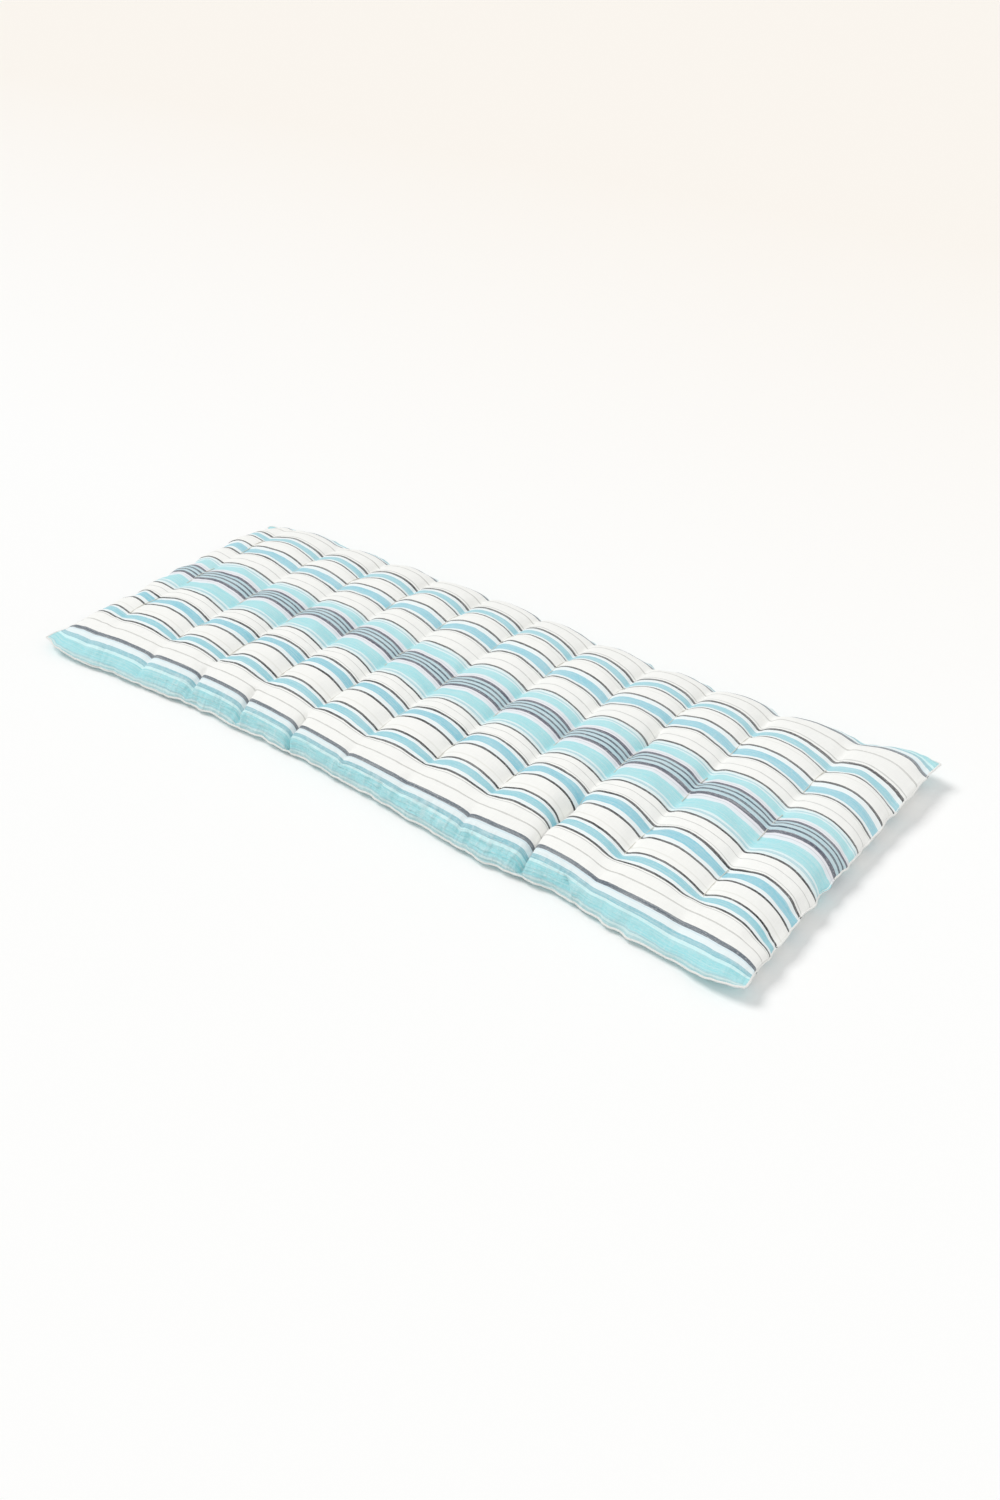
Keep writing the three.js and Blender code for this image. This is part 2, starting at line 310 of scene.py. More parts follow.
    def outline(self, x: Grid, y: Grid) -> Grid:
        """Distance of the long seam from the middle.

        Args:
            x: Places along the mattress.
            y: Which side, by its sign.

        Returns:
            Distances, all positive.
        """
        front = np.interp(
            x,
            [-900, -850, -810, -710, -590, -460, -380, -140, 0,
             180, 360, 436, 536, 650, 740, 830, 900],
            [369, 385, 385, 371, 358, 344, 340, 334, 338,
             346, 357, 348, 341, 353, 358, 360, 338],
        )
        back = np.interp(
            x,
            [-900, -850, -700, -500, -200, 100, 400, 600, 720, 800, 860, 905],
            [322, 329, 334, 330, 326, 326, 329, 338, 356, 370, 378, 372],
        )
        return np.where(y < 0, front, back)

    def seam_height(self, x: Grid, y: Grid) -> Grid:
        """Height of the seam above the floor.

        Args:
            x: Places along the mattress.
            y: Places across it.

        Returns:
            Heights.
        """
        back, front = smooth(100, SEAM_OUT, y), smooth(100, SEAM_OUT, -y)
        height = 11.0 + 3.0 * back
        height = height + smooth(760, 890, x) * (23.0 + 6.0 * back - 3.0 * front)
        return height + smooth(740, 890, -x) * (6.0 + 6.0 * front - 17.0 * back)

    def wander(self, x: Grid, t: Grid) -> Grid:
        """How far the stripes wander across the mattress, as it was laid down.

        Each row is a set of measured shifts, one at each twine, for one place across.

        Args:
            x: Places along the mattress.
            t: Places across the cloth.

        Returns:
            Distances towards +Y.
        """
        at = list(self.columns)
        front = np.interp(x, at, [-2, 4, 8, 5, 1, -6, -5, -2, 7, -7, -2])
        near = np.interp(x, at, [-12, -14, 5, 12, 6, 0, 3, -2, -4, -8, -26])
        middle = np.interp(x, at, [-13, -8, 3, 10, 6, -6, -4, -8, -5, 4, -5])
        far = np.interp(x, at, [-5, -3, -2, 4, 5, 13, 3, -12, 7, 1, -17])
        back = np.interp(x, at, [-14, -12, -8, 4, 11, 12, 3, -6, 1, 0, 0])
        place = np.interp(t, [-self.border, -150, 0, 150, self.border], np.arange(5))
        rows = [front, near, middle, far, back]
        drift = sum(row * np.clip(1 - np.abs(place - k), 0, 1) for k, row in enumerate(rows))
        drift = drift - 7.0 * (hump(-79, 40, t) + hump(79, 40, t) + hump(245, 60, t))
        drift = drift - 5.0 * hump(-235, 65, t)
        fade = 1 - smooth(self.border, self.half_cloth, np.abs(t))
        return drift * fade

    def top(self, s: Grid, t: Grid) -> Grid:
        """The outside of the top panel.

        Args:
            s: Places along the cloth.
            t: Places across it.

        Returns:
            Points, with the coordinates last.
        """
        x, ex = self.along(s)
        y, ey = self.across(t)
        far = np.abs(y)
        share = self.valley_share(x)
        front = 1 - 0.9 * smooth(200, 300, far)
        back = 1 - 0.5 * smooth(262, 320, far)
        depth = np.where(t < 0, front, back)
        level = ex * ey
        seam = self.seam_height(x, y)
        crest = self.crest(x, y) * (1 - 0.2 * smooth(700, 880, -x) * smooth(200, 310, y))
        crest = crest - 3.0 * smooth(160, 260, y)
        depth = depth * (1 - 0.22 * hump(150, 90, y))
        dip = (crest - self.valley) * share * depth
        inner = np.clip(level / 0.45, 0, 1)
        z = seam + (crest - seam) * level - dip * inner
        z = z + self.tufting(x, y, share) * inner
        for crease in self.creases:
            z = z - self.fold(crease, x, y) * np.clip(level / 0.3, 0, 1)
        return self.draw_in(x, y, t, np.maximum(z, seam), level)

    def tufting(self, x: Grid, y: Grid, share: Grid) -> Grid:
        """The valley floor: low where a twine goes through, and up between.

        Args:
            x: Places along the mattress.
            y: Places across it.
            share: 1 on a twine and 0 on a crest.

        Returns:
            Heights to add.
        """
        phase = np.cos(2 * math.pi * (y / self.row_pitch - 0.5))
        inside = 1 - smooth(self.outer_row - 10, self.outer_row + 45, np.abs(y))
        floor = -1.5 * phase * share**1.6
        past = np.where(y < 0, 7.0, -3.0) * hump(self.outer_row + 34, 34, np.abs(y)) * share**2
        return (floor - 0.6 * phase * (1 - share)) * inside + past

    def fold(self, crease: Crease, x: Grid, y: Grid) -> Grid:
        """Depth of a crease.

        Args:
            crease: Which crease.
            x: Places along the mattress.
            y: Places across it.

        Returns:
            Depths, 0 away from it.
        """
        middle, half = (crease.near + crease.far) / 2, (crease.far - crease.near) / 2
        run = 1 - smooth(0.55, 1.0, np.abs(y - middle) / half)
        if crease.near <= -SEAM_OUT:
            run = np.where(y < middle, 1.0, run)
        gap = np.abs(x - self.columns[crease.column])
        return crease.depth * run * np.exp(-gap / crease.reach)

    def draw_in(self, x: Grid, y: Grid, t: Grid, z: Grid, ease: Grid) -> Grid:
        """Brings points of a panel to the outline that the pad lies with.

        Args:
            x: Places along the mattress.
            y: Places across it.
            t: Places across the cloth.
            z: Heights.
            ease: 0 at the seam and 1 away from it.

        Returns:
            Points, with the coordinates last.
        """
        near_edge = np.clip((np.abs(y) - 230.0) / 115.0, 0, 1) ** 2
        out = np.sign(y) * (self.outline(x, y) - SEAM_OUT) * near_edge
        flare = 8.0 * (np.abs(y) / SEAM_OUT) ** 3 * smooth(600, 890, np.abs(x))
        pushed = 13.0 * smooth(760, 890, x) * (1 - ease)
        along = x + np.sign(x) * flare + 0.86 * pushed
        return np.stack([along, y + out + self.wander(x, t) - pushed, z], -1)

    def base(self, s: Grid, t: Grid) -> Grid:
        """The outside of the bottom panel, flat on the floor between grooves.

        Args:
            s: Places along the cloth.
            t: Places across it.

        Returns:
            Points, with the coordinates last.
        """
        x, _ = self.along(s)
        y, _ = self.across(t)
        end = np.where(x > 0, self.right.end, self.left.end)
        reach = np.where(x > 0, 95.0, 62.0)
        lift_end = np.clip((end - np.abs(x)) / reach, 0, 1)
        lift_side = np.clip((SEAM_OUT - np.abs(y)) / 48.0, 0, 1)
        level = np.sqrt(1 - (1 - lift_end) ** 2) * np.sqrt(1 - (1 - lift_side) ** 2)
        z = self.seam_height(x, y) * (1 - level)
        nearest = np.min(np.abs(x[..., None] - np.array(self.columns)), -1)
        inside = 1 - smooth(self.outer_row, self.outer_row + 45, np.abs(y))
        cut = np.clip(1 - nearest / self.groove_reach, 0, 1) ** 1.4
        z = z + self.groove * cut * inside
        return self.draw_in(x, y, t, np.maximum(z, FLOOR_GAP), level)


# ---- Meshes -----------------------------------------------------------------


def spread(low: float, high: float, stops: Sequence[float], step: float) -> Grid:
    """Places from low to high that meet every stop.

    Args:
        low: First place.
        high: Last place.
        stops: Places that have to be met.
        step: Widest distance between two places.

    Returns:
        The places in order.
    """
    ends = [low, *[stop for stop in sorted(stops) if low < stop < high], high]
    places = [np.array([low])]
    for start, end in zip(ends[:-1], ends[1:]):
        count = max(1, math.ceil((end - start) / step))
        places.append(np.linspace(start, end, count + 1)[1:])
    return np.concatenate(places)


def halved(values: Grid, axis: int) -> Grid:
    """Puts a value half-way between each two, on the curve through their neighbours.

    Args:
        values: A grid of values.
        axis: Which way the new lines are counted.

    Returns:
        The finer grid.
    """
    grid = np.moveaxis(values, axis, 0)
    before = np.concatenate([grid[:1], grid[:-2]])
    after = np.concatenate([grid[2:], grid[-1:]])
    between = (9 * (grid[:-1] + grid[1:]) - before - after) / 16
    fine = np.empty((2 * len(grid) - 1, *grid.shape[1:]))
    fine[0::2], fine[1::2] = grid, between
    return np.moveaxis(fine, 0, axis)


def eased(values: Grid, passes: int) -> Grid:
    """Evens a grid out by averaging each value with its neighbours.

    Args:
        values: A grid of values.
        passes: How many times.

    Returns:
        The even grid.
    """
    for _ in range(passes):
        for axis in (0, 1):
            grid = np.moveaxis(values, axis, 0)
            before = np.concatenate([grid[:1], grid[:-1]])
            after = np.concatenate([grid[1:], grid[-1:]])
            values = np.moveaxis((2 * grid + before + after) / 4, 0, axis)
    return values


def add_piece(name: str, mesh: bpy.types.Mesh) -> bpy.types.Object:
    """Puts a mesh into the scene.

    Args:
        name: Name of the piece.
        mesh: Its mesh.

    Returns:
        The new piece.
    """
    mesh.name = name
    piece = bpy.data.objects.new(name, mesh)
    bpy.context.collection.objects.link(piece)
    return piece


def absorb(piece: bpy.types.Object, other: bpy.types.Object) -> bpy.types.Object:
    """Adds the mesh of another piece to a piece, and removes the other.

    Args:
        piece: The piece that grows.
        other: The piece that goes into it.

    Returns:
        The first piece.
    """
    build = bmesh.new()
    build.from_mesh(piece.data)
    build.from_mesh(other.data)
    build.to_mesh(piece.data)
    build.free()
    bpy.data.objects.remove(other)
    piece.data.shade_smooth()
    return piece


class Panel:
    """A piece of cloth grown from a flat grid, which keeps its places as its UV map."""

    def __init__(self, name: str, s: Grid, t: Grid) -> None:
        """Lays the grid out flat.

        Args:
            name: Name of the piece.
            s: Places of its lines along the cloth.
            t: Places of its lines across the cloth.
        """
        build = bmesh.new()
        bmesh.ops.create_grid(build, x_segments=len(s) - 1, y_segments=len(t) - 1, size=1.0)
        flat = np.array([vert.co[:] for vert in build.verts])
        mesh = bpy.data.meshes.new(name)
        build.to_mesh(mesh)
        build.free()
        self.s, self.t, self.points = s, t, np.empty(0)
        self.i = np.rint((flat[:, 0] + 1) / 2 * (len(s) - 1)).astype(int)
        self.j = np.rint((flat[:, 1] + 1) / 2 * (len(t) - 1)).astype(int)
        self.piece = add_piece(name, mesh)
        self.lay_out_map()

    def lay_out_map(self) -> None:
        """Writes each corner's place on the cloth, in metres, as its UV."""
        mesh = self.piece.data
        corner = np.empty(len(mesh.loops), dtype=np.int32)
        mesh.loops.foreach_get("vertex_index", corner)
        place = np.stack([self.s[self.i[corner]], self.t[self.j[corner]]], -1) * MM
        layer = mesh.uv_layers.new(name="cloth")
        layer.data.foreach_set("uv", place.astype(np.float32).ravel())

    @property
    def grid(self) -> tuple[Grid, Grid]:
        """The places of the grid, along first."""
        return np.meshgrid(self.s, self.t, indexing="ij")

    def shape(self, points: Grid) -> None:
        """Moves every vertex to its place in a grid of points."""
        self.points = points
        place = points[self.i, self.j] * MM
        self.piece.data.vertices.foreach_set("co", place.ravel())
        self.piece.data.update()

    def read(self, mesh: bpy.types.Mesh) -> Grid:
        """The points of a mesh with the same vertices.

        Args:
            mesh: The mesh.

        Returns:
            A grid of points.
        """
        flat = np.empty(3 * len(mesh.vertices))
        mesh.vertices.foreach_get("co", flat)
        points = np.empty((len(self.s), len(self.t), 3))
        points[self.i, self.j] = flat.reshape(-1, 3) / MM
        return points

    def finish(self, side: Side, thickness: float) -> None:
        """Turns the faces outwards, gives the cloth its thickness and shades it.

        Args:
            side: Which panel it is.
            thickness: Thickness of the cloth.
        """
        if side is Side.BOTTOM:
            self.piece.data.flip_normals()
        self.piece.data.shade_smooth()
        wall = self.piece.modifiers.new("thickness", "SOLIDIFY")
        wall.thickness = thickness * MM
        wall.offset = -1.0


def normals(points: Grid) -> Grid:
    """The directions that a grid of points faces, upwards in a flat one.

    Args:
        points: A grid of points.

    Returns:
        A grid of unit vectors.
    """
    along = np.gradient(points, axis=0)
    across = np.gradient(points, axis=1)
    facing = np.cross(along, across)
    return facing / np.maximum(np.linalg.norm(facing, axis=-1, keepdims=True), 1e-9)


# ---- Swelling of the cloth --------------------------------------------------


@dataclass(frozen=True)
class Swelling:
    """Air pressure on a panel that is held where it is sewn."""

    pressure: float = 4.0
    slack: float = 0.03
    frames: int = 20
    cap: float = 8.0  # the furthest that a place may move
    kept: float = 0.25  # how much of the even swelling stays

    def run(self, panel: Panel, held: Grid) -> Grid:
        """Swells a panel and takes the simulation off it again.

        Args:
            panel: The panel, in its first shape.
            held: True where the panel is held.

        Returns:
            How far each place of the grid moves.
        """
        before = panel.read(panel.piece.data)
        flat = held[panel.i, panel.j]
        group = panel.piece.vertex_groups.new(name="held")
        group.add(np.flatnonzero(flat).tolist(), 1.0, "REPLACE")
        cloth = panel.piece.modifiers.new("swelling", "CLOTH")
        self.set_up(cloth)
        for number in range(1, self.frames + 1):
            bpy.context.scene.frame_set(number)
        view = bpy.context.evaluated_depsgraph_get()
        swollen = panel.piece.evaluated_get(view)
        after = panel.read(swollen.to_mesh())
        swollen.to_mesh_clear()
        panel.piece.modifiers.remove(cloth)
        bpy.context.scene.frame_set(1)
        return self.temper(after - before)

    def set_up(self, cloth: bpy.types.ClothModifier) -> None:
        """Sets the cloth's behaviour.

        Args:
            cloth: The simulation.
        """
        values = cloth.settings
        values.quality = 5
        values.mass = 0.3
        values.tension_stiffness = 15.0
        values.compression_stiffness = 15.0
        values.shear_stiffness = 5.0
        values.bending_stiffness = 0.5
        values.use_pressure = True
        values.uniform_pressure_force = self.pressure
        values.shrink_min = -self.slack
        values.vertex_group_mass = "held"
        values.effector_weights.gravity = 0.0
        cloth.collision_settings.use_collision = False
        cloth.point_cache.frame_start = 1
        cloth.point_cache.frame_end = self.frames

    def temper(self, moved: Grid) -> Grid:
        """Keeps the wrinkles and a share of the even swelling, and caps both.

        Args:
            moved: How far each place moved.

        Returns:
            How far it may move.
        """
        moved = eased(moved, 2)
        moved = moved - (1 - self.kept) * eased(moved, 24)
        far = np.linalg.norm(moved, axis=-1, keepdims=True)
        return moved * np.minimum(1.0, self.cap / np.maximum(far, 1e-6))


# ---- Finishes ---------------------------------------------------------------


def linear(colour: Sequence[int]) -> tuple[float, float, float, float]:
    """A colour as the shaders take it.

    Args:
        colour: Red, green and blue from 0 to 255, as on a screen.

    Returns:
        Red, green and blue from 0 to 1 in linear light, and 1.
    """
    shares = [part / 255 for part in colour]
    curve = [c / 12.92 if c <= 0.04045 else ((c + 0.055) / 1.055) ** 2.4 for c in shares]
    return (*curve, 1.0)


class Tree:
    """Short ways to fill a node tree."""

    def __init__(self, tree: bpy.types.NodeTree) -> None:
        """Takes the tree to fill."""
        self.tree = tree

    def node(self, kind: str, inputs: dict | None = None, **values: object) -> bpy.types.Node:
        """Adds a node.

        Args:
            kind: The end of its type name, after "ShaderNode".
            inputs: A value or a socket for each input, by its name or number.
            values: Properties to set on it.

        Returns:
            The node.
        """
        node = self.tree.nodes.new("ShaderNode" + kind)
        for name, value in values.items():
            setattr(node, name, value)
        self.fill(node, inputs or {})
        return node

    def fill(self, node: bpy.types.Node, inputs: dict) -> None:
        """Sets inputs of a node, or joins them to sockets.

        Args:
            node: The node.
            inputs: A value or a socket for each input, by its name or number.
        """
        for key, value in inputs.items():
            if isinstance(value, Socket):
                self.tree.links.new(value, node.inputs[key])
            else:
                node.inputs[key].default_value = value

    def math(self, operation: str, *values: object) -> Socket:
        """Adds one sum of numbers or sockets, and returns the result's socket."""
        return self.node("Math", dict(enumerate(values)), operation=operation).outputs[0]

    def mix(self, share: object, first: object, second: object, blend: str = "MIX") -> Socket:
        """Mixes two colours.

        Args:
            share: How much of the second, a number or a socket.
            first: A colour or a socket.
            second: A colour or a socket.
            blend: How they are mixed.

        Returns:
            The mixed colour's socket.
        """
        inputs = {0: share, 6: first, 7: second}
        return self.node("Mix", inputs, data_type="RGBA", blend_type=blend).outputs[2]

    def noise(self, vector: Socket, scale: float, detail: float) -> Socket:
        """Adds a noise.

        Args:
            vector: Where it is read.
            scale: How fine it is.
            detail: How many finer layers it has.

        Returns:
            The value's socket.
        """
        inputs = {"Scale": scale, "Detail": detail, "Vector": vector}
        return self.node("TexNoise", inputs).outputs["Fac"]

    def streaks(self, vector: Socket, scale: Sequence[float], detail: float = 1.0) -> Socket:
        """Adds a noise that is stretched out.

        Args:
            vector: Where it is read.
            scale: How fine it is in each direction.
            detail: How many finer layers it has.

        Returns:
            The value's socket.
        """
        sized = self.node("VectorMath", {0: vector, 1: scale}, operation="MULTIPLY")
        return self.noise(sized.outputs[0], 1.0, detail)

    def graded(self, value: Socket, before: tuple[float, float],
               after: tuple[float, float] = (0.0, 1.0)) -> Socket:
        """Maps one span of a value to another and holds it outside.

        Args:
            value: The value.
            before: Both ends of its span.
            after: What they become.

        Returns:
            The new value's socket.
        """
        names = ("From Min", "From Max", "To Min", "To Max")
        inputs = dict(zip(names, (*before, *after)))
        return self.node("MapRange", {"Value": value, **inputs}).outputs[0]

    def bump(self, height: Socket, strength: float, distance: float,
             below: Socket | None = None) -> Socket:
        """Adds a bump.

        Args:
            height: Its height, from 0 to 1.
            strength: How much of it shows.
            distance: How high 1 is, in metres.
            below: The bump that it is laid over.

        Returns:
            The normal's socket.
        """
        inputs = {"Height": height, "Strength": strength, "Distance": distance}
        if below is not None:
            inputs["Normal"] = below
        return self.node("Bump", inputs).outputs[0]


def new_finish(name: str) -> tuple[bpy.types.Material, Tree, bpy.types.Node]:
    """Starts a finish.

    Args:
        name: Its name.

    Returns:
        The finish, its tree and its shader.
    """
    finish = bpy.data.materials.new(name)
    finish.use_nodes = True
    return finish, Tree(finish.node_tree), finish.node_tree.nodes["Principled BSDF"]


def new_group(name: str, inputs: dict[str, str], outputs: dict[str, str]
              ) -> tuple[Tree, bpy.types.NodeOutputs, bpy.types.Node]:
    """Starts a group of shader nodes.

    Args:
        name: Its name.
        inputs: The kind of each input, by its name.
        outputs: The kind of each output, by its name.

    Returns:
        The tree, its inputs by name, and the node that takes its outputs.
    """
    group = bpy.data.node_groups.new(name, "ShaderNodeTree")
    for way, sockets in (("INPUT", inputs), ("OUTPUT", outputs)):
        for label, kind in sockets.items():
            group.interface.new_socket(label, in_out=way, socket_type="NodeSocket" + kind)
    entry = group.nodes.new("NodeGroupInput")
    leave = group.nodes.new("NodeGroupOutput")
    return Tree(group), entry.outputs, leave


def weave_group() -> bpy.types.NodeTree:
    """Plain weave: warp threads along the cloth and weft threads across it.

    Returns:
        A group that gives the height of the threads from 0 to 1.
    """
    tree, given, leave = new_group(
        "plain_weave", {"Cloth": "Vector", "Threads": "Float"}, {"Height": "Float"}
    )
    split = tree.node("SeparateXYZ", {0: given["Cloth"]})
    turns = tree.math("MULTIPLY", given["Threads"], math.pi)
    u, v = (tree.math("SINE", tree.math("MULTIPLY", split.outputs[axis], turns))
            for axis in (0, 1))
    over = tree.math("MULTIPLY", u, v)
    tree.fill(leave, {"Height": tree.math("MULTIPLY_ADD", over, 0.5, 0.5)})
    return tree.tree


def slub_group() -> bpy.types.NodeTree:
    """Thick and thin places of the yarn, as streaks along and across the cloth.

    Returns:
        A group that gives a value round 0.5.
    """
    tree, given, leave = new_group("slub", {"Cloth": "Vector"}, {"Streak": "Float"})
    warp = tree.streaks(given["Cloth"], (28.0, 900.0, 1.0))
    weft = tree.streaks(given["Cloth"], (700.0, 34.0, 1.0))
    both = tree.math("ADD", tree.math("MULTIPLY", warp, 0.6), tree.math("MULTIPLY", weft, 0.4))
    tree.fill(leave, {"Streak": both})
    return tree.tree


@dataclass(frozen=True)
class Stripe:
    """One colour of the weave, from its start to the start of the next."""

    start: float  # distance from the middle of the cloth
    colour: tuple[int, int, int]


def stripe_row(*runs: tuple[float, tuple[int, int, int]]) -> tuple[Stripe, ...]:
    """Stripes from pairs of a start and a colour."""
    return tuple(Stripe(*run) for run in runs)


WHITE = (254, 254, 250)
BRIGHT = (246, 254, 255)
LINE = (42, 43, 46)
FAINT = (214, 215, 211)
NAVY = (88, 92, 108)
MIST = (192, 219, 227)
AQUA = (172, 232, 238)
BLUE = (147, 212, 228)
MIDDLE_STRIPES = stripe_row(
    (0, MIST), (3.25, (78, 98, 112)), (7.75, MIST), (14, NAVY), (21.3, (241, 241, 247)),
    (26.2, (215, 220, 225)), (27.6, (238, 245, 250)), (34.5, AQUA),
    (62.3, (229, 249, 252)), (65.6, (184, 222, 229)), (70.4, (235, 250, 251)),
    (76.4, LINE), (80.9, WHITE), (98.8, FAINT), (100.8, WHITE), (121.2, FAINT),
    (123, WHITE), (127, LINE), (131.7, BRIGHT), (139.3, BLUE), (160.6, BRIGHT),
    (171.4, LINE), (176.3, WHITE),
)
OUTER_STRIPES = stripe_row(
    (188, WHITE), (203.2, (243, 243, 237)), (206, WHITE), (216.3, LINE),
    (220.5, BRIGHT), (226.6, (154, 215, 227)), (243.2, BRIGHT), (251.4, LINE),
    (256.2, WHITE), (260, FAINT), (262, WHITE), (286, (210, 210, 205)), (288.6, WHITE),
    (311, (104, 114, 124)), (318.3, (226, 243, 249)), (321.5, (241, 253, 255)),
    (329.7, (152, 208, 219)), (337.8, (214, 253, 255)), (343, (164, 230, 236)),
    (362.5, (168, 218, 225)), (365.3, (206, 238, 239)), (369, (176, 222, 226)),
    (374, (216, 240, 241)),
)


@dataclass(frozen=True)
class StripedCloth:
    """Cotton woven in stripes that mirror each other about the middle."""

    inner: tuple[Stripe, ...] = MIDDLE_STRIPES
    outer: tuple[Stripe, ...] = OUTER_STRIPES
    change: float = 188.0
    waver: float = 0.0012  # how far a stripe's edge strays, in metres
    threads: float = 1000.0  # in each metre
    roughness: float = 0.85

    def ramp(self, tree: Tree, across: Socket, stripes: Sequence[Stripe], start: float,
             end: float) -> Socket:
        """A run of stripes.

        Args:
            tree: The tree to fill.
            across: Distance from the middle of the cloth, in metres.
            stripes: The stripes in order.
            start: Where the run starts.
            end: Where it ends.

        Returns:
            The colour's socket.
        """
        node = tree.node("ValToRGB", {"Fac": tree.graded(across, (start * MM, end * MM))})
        node.color_ramp.interpolation = "CONSTANT"
        stops = node.color_ramp.elements
        while len(stops) < len(stripes):
            stops.new(0.5)
        for stop in stops:
            stop.position = 0.0
        for stop, stripe in reversed(list(zip(stops, stripes))):
            stop.position = (stripe.start - start) / (end - start)
        for stop, stripe in zip(stops, stripes):
            stop.color = linear(stripe.colour)
        return node.outputs["Color"]

    def build(self, name: str, half: float, groups: dict) -> bpy.types.Material:
        """Makes the finish.

        Args:
            name: Its name.
            half: Cloth from the middle to the seam.
            groups: The shared groups of nodes.

        Returns:
            The finish.
        """
        finish, tree, shader = new_finish(name)
        place = tree.node("UVMap", uv_map="cloth").outputs[0]
        split = tree.node("SeparateXYZ", {0: place})
        strayed = tree.streaks(place, (60.0, 420.0, 1.0))
        shifted = tree.math("MULTIPLY_ADD", strayed, self.waver, split.outputs[1])
        across = tree.math("ABSOLUTE", tree.math("SUBTRACT", shifted, self.waver / 2))
        inner = self.ramp(tree, across, self.inner, 0.0, self.change)
        outer = self.ramp(tree, across, self.outer, self.change, half)
        woven = tree.mix(tree.math("GREATER_THAN", across, self.change * MM), inner, outer)
        ropes = tree.streaks(place, (22.0, 170.0, 1.0), 3.0)
        puckers = tree.streaks(place, (95.0, 22.0, 1.0), 3.0)
        gathered = tree.math("MULTIPLY_ADD", ropes, 0.9, puckers)
        along = tree.math("ABSOLUTE", split.outputs[0])
        edge = tree.math("MULTIPLY", tree.graded(across, (0.316, 0.336)),
                         tree.graded(along, (0.50, 0.62), (1.0, 0.4)))
        worn = self.wear(tree, woven, place, split.outputs[1])
        # Painted highlight: a pale blue-white is mixed onto the ridges of the side bands'
        # wrinkles, where light would catch them.
        ridges = tree.graded(gathered, (0.98, 1.15), (0.0, 0.28))
        colour = tree.mix(tree.math("MULTIPLY", ridges, edge), worn, linear((236, 249, 250)))
        slub = tree.node("Group", {"Cloth": place}, node_tree=groups["slub"])
        streak = slub.outputs["Streak"]
        tint = tree.graded(streak, (0.3, 0.7), (0.94, 1.0))
        threads = {"Cloth": place, "Threads": self.threads}
        weave = tree.node("Group", threads, node_tree=groups["weave"])
        fine = tree.bump(weave.outputs["Height"], 0.25, 0.0003)
        creased = tree.streaks(place, (55.0, 75.0, 1.0), 4.0)
        soft = tree.bump(creased, 0.6, 0.002, fine)
        tree.fill(shader, {
            "Base Color": tree.mix(1.0, colour, tint, "MULTIPLY"),
            "Normal": tree.bump(tree.math("MULTIPLY", gathered, edge), 1.0, 0.0065, soft),
            "Roughness": tree.math("MULTIPLY_ADD", streak, 0.12, self.roughness - 0.06),
            "Specular IOR Level": 0.25,
            "Sheen Weight": 0.08,
            "Sheen Roughness": 0.5,
        })
        return finish

    def wear(self, tree: Tree, woven: Socket, place: Socket, side: Socket) -> Socket:
        """Pale places: streaks and dashes where the cloth has faded or its yarn is thin, and the
        +Y half of the cloth a little paler all over.

        Args:
            tree: The tree to fill.
            woven: The stripes' colour.
            place: The place on the cloth.
            side: The place across it, which tells its two sides apart.

        Returns:
            The colour's socket.
        """
        streaks = tree.streaks(place, (11.0, 420.0, 1.0), 2.0)
        dashes = tree.streaks(place, (170.0, 1100.0, 1.0))
        for value, before, most, pale in (
            # The +Y half of the cloth is made up to 7 % paler all over.
            (side, (0.02, 0.06), 0.07, (248, 248, 246)),
            (streaks, (0.38, 0.66), 0.24, (250, 251, 249)),
            (dashes, (0.54, 0.72), 0.4, (246, 247, 245)),
        ):
            woven = tree.mix(tree.graded(value, before, (0.0, most)), woven, linear(pale))
        return woven


@dataclass(frozen=True)
class Yarn:
    """Twisted thread, with its turns as ridges."""

    colour: tuple[int, int, int]
    shade: tuple[int, int, int]
    turns: float = 600.0
    roughness: float = 0.8

    def build(self, name: str) -> bpy.types.Material:
        """Makes the finish.

        Args:
            name: Its name.

        Returns:
            The finish.
        """
        finish, tree, shader = new_finish(name)
        fibres = tree.noise(tree.node("TexCoord").outputs["Object"], self.turns, 3.0)
        tree.fill(shader, {
            "Base Color": tree.mix(fibres, linear(self.shade), linear(self.colour)),
            "Normal": tree.bump(fibres, 0.4, 0.0004),
            "Roughness": self.roughness,
            "Specular IOR Level": 0.25,
        })
        return finish


@dataclass(frozen=True)
class CottonFelt:
    """Carded cotton: matted fibres with darker specks of seed."""

    colour: tuple[int, int, int] = (236, 228, 208)
    shade: tuple[int, int, int] = (206, 192, 160)

    def build(self, name: str) -> bpy.types.Material:
        """Makes the finish.

        Args:
            name: Its name.

        Returns:
            The finish.
        """
        finish, tree, shader = new_finish(name)
        place = tree.node("TexCoord").outputs["Object"]
        tufts = tree.noise(place, 60.0, 6.0)
        fibres = tree.streaks(place, (900.0, 250.0, 600.0), 3.0)
        mixed = tree.math("MULTIPLY", tufts, fibres)
        light = tree.graded(mixed, (0.12, 0.4))
        tree.fill(shader, {
            "Base Color": tree.mix(light, linear(self.shade), linear(self.colour)),
            "Normal": tree.bump(mixed, 0.7, 0.003),
            "Roughness": 0.95,
        })
        return finish


# ---- Sub-assemblies ---------------------------------------------------------


@dataclass(frozen=True)
class Pleat:
    """A small upright fold in the front side of the top panel."""

    along: float  # where it is along the mattress
    depth: float
    lean: float = 0.15  # how far it slants


